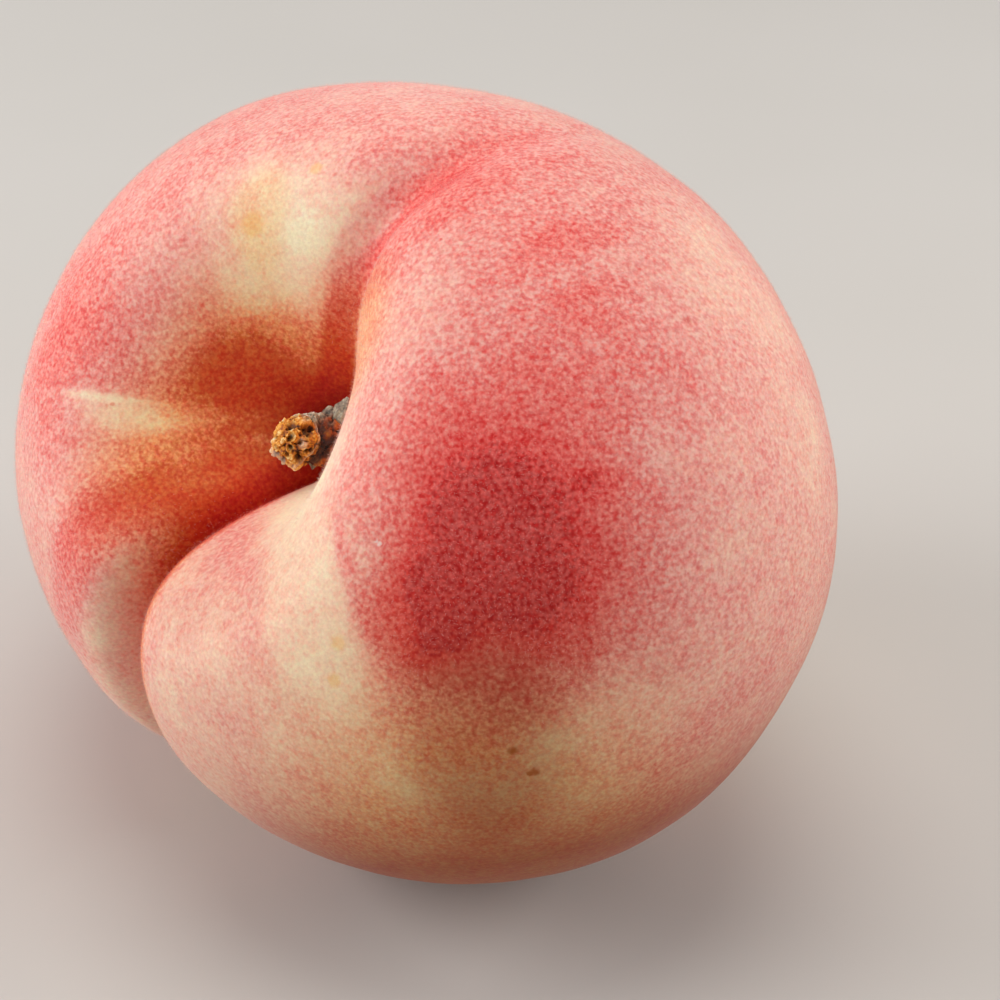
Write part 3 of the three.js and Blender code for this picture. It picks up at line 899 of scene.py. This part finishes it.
def stem_core():
    """The stem's points above its peg and down to the peg's end, with what its finish reads."""
    heights = np.array([-PEG_LENGTH, *[ring[0] for ring in STEM_PROFILE], STEM_TOP])
    stops = np.linspace(1, 0, STEM_ROWS + 1)[1:-1] * (len(heights) - 1)
    stops = np.interp(stops, np.arange(len(heights)), heights)
    turns = np.linspace(0, 2 * math.pi, STEM_COLUMNS, endpoint=False)
    around, height = np.meshgrid(turns, stops)

    def surface(around, height):
        radius = stem_radius(height) * stem_relief(height, around)
        return np.stack([radius * np.cos(around), radius * np.sin(around), height], -1)

    core = surface(around, height)
    spread = np.random.default_rng(PIT_SEED)
    turned = np.concatenate([np.radians(BIG_PITS[:, 0]), spread.uniform(0, 2 * math.pi, PIT_COUNT)])
    level = np.concatenate([BIG_PITS[:, 1], spread.uniform(*PIT_LEVELS, PIT_COUNT)])
    size = np.concatenate([BIG_PITS[:, 2], spread.uniform(*PIT_RADII, PIT_COUNT)])
    places = list(zip(surface(turned, level), size))
    # A torn rim runs round the knob's face.
    sideways = np.stack([np.cos(around), np.sin(around), around * 0], -1)
    ragged = 0.5 + 0.5 * lumps(sideways, RIM_TEAR, RIM_SEED)
    level = RIM_HEIGHT + RIM_TILT * np.cos(around - math.radians(RIM_TURN))
    torn = RIM_LOWEST + (1 - RIM_LOWEST) * ragged
    rim = np.exp(-(((height - level) / RIM_SPREAD) ** 2)) * torn
    core = core + RIM_WIDTH * rim[..., None] * sideways
    middle = core * (0, 0, 1) - (0, 0, MIDDLE_DROP)
    core, sunk = pitted(core, middle, places)
    knob = smooth(height, *KNOB_STARTS)
    rough = smooth(height, *ROUGH_STARTS) * (1 + KNOB_ROUGHER * knob)
    core, raised = roughened(core, middle, rough)
    # Bark bridges the neck on one side.
    aside = np.abs((np.degrees(around) - BARK_STRIP + 180) % 360 - 180)
    bridge = BRIDGE_HEIGHT * np.exp(-(((height - BRIDGE_LEVEL) / BRIDGE_SPREAD) ** 2))
    bridge = bridge * smooth(-aside, *BRIDGE_ASIDE)
    core = core + bridge[..., None] * sideways
    bent = smooth(height, BEND_STARTS, BEND_ENDS)[..., None]
    core = core + bent * (*STEM_BEND, 0)
    # Grey bark is left in a strip up one side, and the neck is dark.
    wander = WANDER * lumps(core, WANDER_SIZE, WANDER_SEED)
    head = -height + HEAD_WANDERS * wander
    strip = smooth(-aside + wander, *STRIP_ASIDE) * smooth(head, *STRIP_ENDS)
    neck = smooth(height + FOOT_WANDERS * wander, *NECK_STARTS) * smooth(head, *NECK_ENDS)
    fleck = surface(*HIGHLIGHT_FLECK) + bent[0] * (*STEM_BEND, 0)
    painted_highlight = np.exp(-((np.linalg.norm(core - fleck, axis=-1) / HIGHLIGHT_FLECK_RADIUS) ** 4))
    # The pale torn rim, and the painted highlight where the knob shines.
    pale = np.maximum(rim, painted_highlight)
    painted = {"bark": strip, "neck": neck * (1 - strip), "cork": knob, "pit": sunk}
    painted |= {"pale": pale, "raised": raised}
    return core, painted


def bark_scale(around, root_radius, root_height, tip_radius, tip_height, width):
    """A pointed, slightly hollow scale that leans out from the stem."""
    length = math.hypot(tip_radius - root_radius, tip_height - root_height)
    turns = np.linspace(0, 2 * math.pi, BARK_COLUMNS, endpoint=False)
    turns, along = np.meshgrid(turns, np.linspace(1, 0, BARK_ROWS + 2)[1:-1])
    full = np.sqrt(np.maximum(0, 1 - (2 * along - 1) ** 2)) * (1 - BARK_TAPER * along)
    full = full * (1 - TIP_TAPER * smooth(along, TIP_STARTS, 1.0))
    x = width / 2 * full * np.cos(turns)
    ridges = 1 + RIDGE_HEIGHT * np.cos(RIDGE_CLOSENESS * x + RIDGE_SLANT * along)
    y = BARK_THICKNESS / 2 * full * np.sin(turns) * ridges - BARK_HOLLOW * x * x
    scale = np.stack([x, y, length * along], -1)
    scale, _ = roughened(scale, scale * (0.6, 0, 1), np.full(along.shape, BARK_ROUGHNESS))
    rise = math.atan2(tip_height - root_height, tip_radius - root_radius)
    turn = np.array(
        Matrix.Rotation(math.pi / 2 + math.radians(around), 3, "Z")
        @ Matrix.Rotation(math.pi / 2 - rise, 3, "X")
    )
    root = way_to(around, 90) * root_radius + np.array([0, 0, root_height])
    ends = (np.array([0, 0, length]), scale, np.zeros(3))
    return [p @ turn.T + root for p in ends]


def grow_stem():
    up = np.array([0, 0, CAVITY_FLOOR])
    core, painted = stem_core()
    bend = np.array([*STEM_BEND, 0])
    first, last = np.array([0, 0, STEM_TOP]) + bend, np.array([0, 0, -PEG_LENGTH])
    pieces = [closed_mesh("core", *(lying_places(p + up) for p in (first, core, last)))]
    for name, values in painted.items():
        paint(pieces[0], name, np.concatenate([values[:1, 0], values.ravel(), values[-1:, 0]]))
    for numbers in BARK_SCALES:
        ends = bark_scale(*numbers)
        scale = closed_mesh("scale", *(lying_places(p + up) for p in ends))
        paint(scale, "bark", np.ones(len(scale.data.vertices)))
        pieces.append(scale)
    return joined("stem_wood", pieces, ("bark", "neck", "cork", "pit", "pale", "raised"))


# Cork tones. The palest stops are painted highlight on the raised cork.
CORK = [
    (0.00, colour("4c2206")),
    (0.30, colour("b8640c")),
    (0.58, colour("e79c30")),
    (0.85, colour("ffd890")),
    (1.00, colour("fff0d0")),
]
WOOD = [(0.00, colour("4a1c08")), (0.45, colour("b0501a")), (1.00, colour("e09038"))]
BARK = [
    (0.00, colour("3a2f28")),
    (0.35, colour("857a68")),
    (0.70, colour("bdb398")),
    (1.00, colour("dcd6c4")),
]

# The sizes of the stem's patterns and how high its bumps stand, in mm.
CORK_PATCH, CORK_GRAIN, CORK_BUMPS, BUMP_HEIGHT = 0.75, 0.26, 0.3, 0.12
# What each layer of colour is, and the share of it.
NECK_SHARE, NECK_DARK = 0.85, colour("241a1e")
# The pale of the torn rim, and of the painted highlight on the knob.
RIM_AND_HIGHLIGHT_SHARE, RIM_AND_HIGHLIGHT_PALE = 0.6, colour("e4cdb4")
# Painted shade in the pits.
PIT_SHADE_SHARE, PIT_SHADE = 0.88, colour("2c1004")


def stem_finish():
    m = Finish("corky_stem")
    bark, neck, cork = m.painted("bark"), m.painted("neck"), m.painted("cork")
    pit, pale, raised = m.painted("pit"), m.painted("pale"), m.painted("raised")
    coarse = m.between(m.noise(CORK_PATCH, 4.0, 0.65, seed=31), 0.30, 0.70)
    fine = m.between(m.noise(CORK_GRAIN, 3.0, 0.6, seed=32), 0.30, 0.70)
    # Raised cork is painted lighter, and sunken cork and its cracks darker: painted highlight on the
    # ridges and painted shade in the hollows.
    grain = 0.40 * coarse + 0.35 * fine + 0.40 * raised + 0.08
    tone = m.mix(cork, m.ramp(grain, WOOD), m.ramp(grain, CORK))
    tone = m.mix(NECK_SHARE * neck, tone, NECK_DARK)
    # The pale torn rim and the painted highlight on the knob.
    tone = m.mix(RIM_AND_HIGHLIGHT_SHARE * pale, tone, RIM_AND_HIGHLIGHT_PALE)
    tone = m.mix(bark.clamped(), tone, m.ramp(grain, BARK))
    # The pits darkened as painted shade.
    tone = m.mix(PIT_SHADE_SHARE * pit, tone, PIT_SHADE)
    cork_bump = m.bump(m.noise(CORK_BUMPS, 4.0, 0.65, seed=33), 0.7, BUMP_HEIGHT)
    return m.finish(
        Base_Color=tone,
        Roughness=0.50 + 0.35 * fine,
        Normal=cork_bump,
        Specular_IOR_Level=0.45,
    )


# ------------------------------------------------------------------------------------ what is shown

skin = grow_skin()
skin.data.materials.append(skin_finish())
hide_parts("fruit")
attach(skin, "root")

hairs = down_tree(down_finish())
for number in range(1, DOWN_LAYERS + 1):
    layer = grow_down(skin, hairs, f"down_{number}", number)
    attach(layer, "root")

stem = grow_stem()
stem.data.materials.append(stem_finish())
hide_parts("stem")
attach(stem, "root")

# -------------------------------------------------------------------------- floor, light and camera

FLOOR_HALF_WIDTH = 1.5
LIGHT_AIM = (0, 0, 0.035)
# Round lamps: place, width in metres, power in watts, colour.
LAMPS = {
    "overhead": ((0, 0.05, 0.75), 0.50, 2.15, (1.0, 0.98, 0.96)),
    "window": ((-0.70, 0, 0.35), 0.45, 3.85, (0.98, 0.98, 1.0)),
    "far_side": ((0.70, 0, 0.35), 0.45, 2.75, (1.0, 0.98, 0.98)),
}
SKY_COLOUR, SKY_STRENGTH = (0.94, 0.96, 1.0, 1), 0.34
LENS, FRAME_WIDTH, CAMERA_RISE = 85, 36, math.radians(33)
# From the middle of the fruit, in mm.
CAMERA_ACROSS, CAMERA_UP, CAMERA_BACK = 3.28, -2.80, 236


def pale_finish():
    m = Finish("pale_floor")
    shade = m.mix(m.noise(60, 2.0), colour("c9c4bc"), colour("cfcac3"))
    return m.finish(Base_Color=shade, Roughness=0.8)


def lay_floor():
    mesh = bpy.data.meshes.new("floor")
    near, far = -FLOOR_HALF_WIDTH, FLOOR_HALF_WIDTH
    corners = [(near, near, 0), (far, near, 0), (far, far, 0), (near, far, 0)]
    mesh.from_pydata(corners, [], [(0, 1, 2, 3)])
    mesh.materials.append(pale_finish())
    floor = bpy.data.objects.new("floor", mesh)
    bpy.context.scene.collection.objects.link(floor)


def soft_light(name, place, width, power, tint):
    lamp = bpy.data.lights.new(name, "AREA")
    lamp.shape, lamp.size, lamp.energy, lamp.color = "DISK", width, power, tint
    light = bpy.data.objects.new(name, lamp)
    light.location = place
    light.rotation_euler = (Vector(LIGHT_AIM) - Vector(place)).to_track_quat("-Z", "Y").to_euler()
    bpy.context.scene.collection.objects.link(light)


def set_sky():
    world = bpy.data.worlds.new("studio")
    world.use_nodes = True
    sky = world.node_tree.nodes["Background"].inputs
    sky["Color"].default_value, sky["Strength"].default_value = SKY_COLOUR, SKY_STRENGTH
    bpy.context.scene.world = world


def set_camera():
    data = bpy.data.cameras.new("camera")
    data.lens, data.sensor_width, data.clip_start = LENS, FRAME_WIDTH, 0.01
    camera = bpy.data.objects.new("camera", data)
    across = Vector((1, 0, 0))
    up = Vector((0, math.sin(CAMERA_RISE), math.cos(CAMERA_RISE)))
    back = Vector((0, -math.cos(CAMERA_RISE), math.sin(CAMERA_RISE)))
    aside = CAMERA_ACROSS * across + CAMERA_UP * up + CAMERA_BACK * back
    camera.location = Vector(LIFT) * MM + aside * MM
    camera.rotation_euler = (math.pi / 2 - CAMERA_RISE, 0, 0)
    bpy.context.scene.collection.objects.link(camera)
    bpy.context.scene.camera = camera


lay_floor()
for name, settings in LAMPS.items():
    soft_light(name, *settings)
set_sky()
bpy.context.scene.view_settings.view_transform = "Standard"
set_camera()
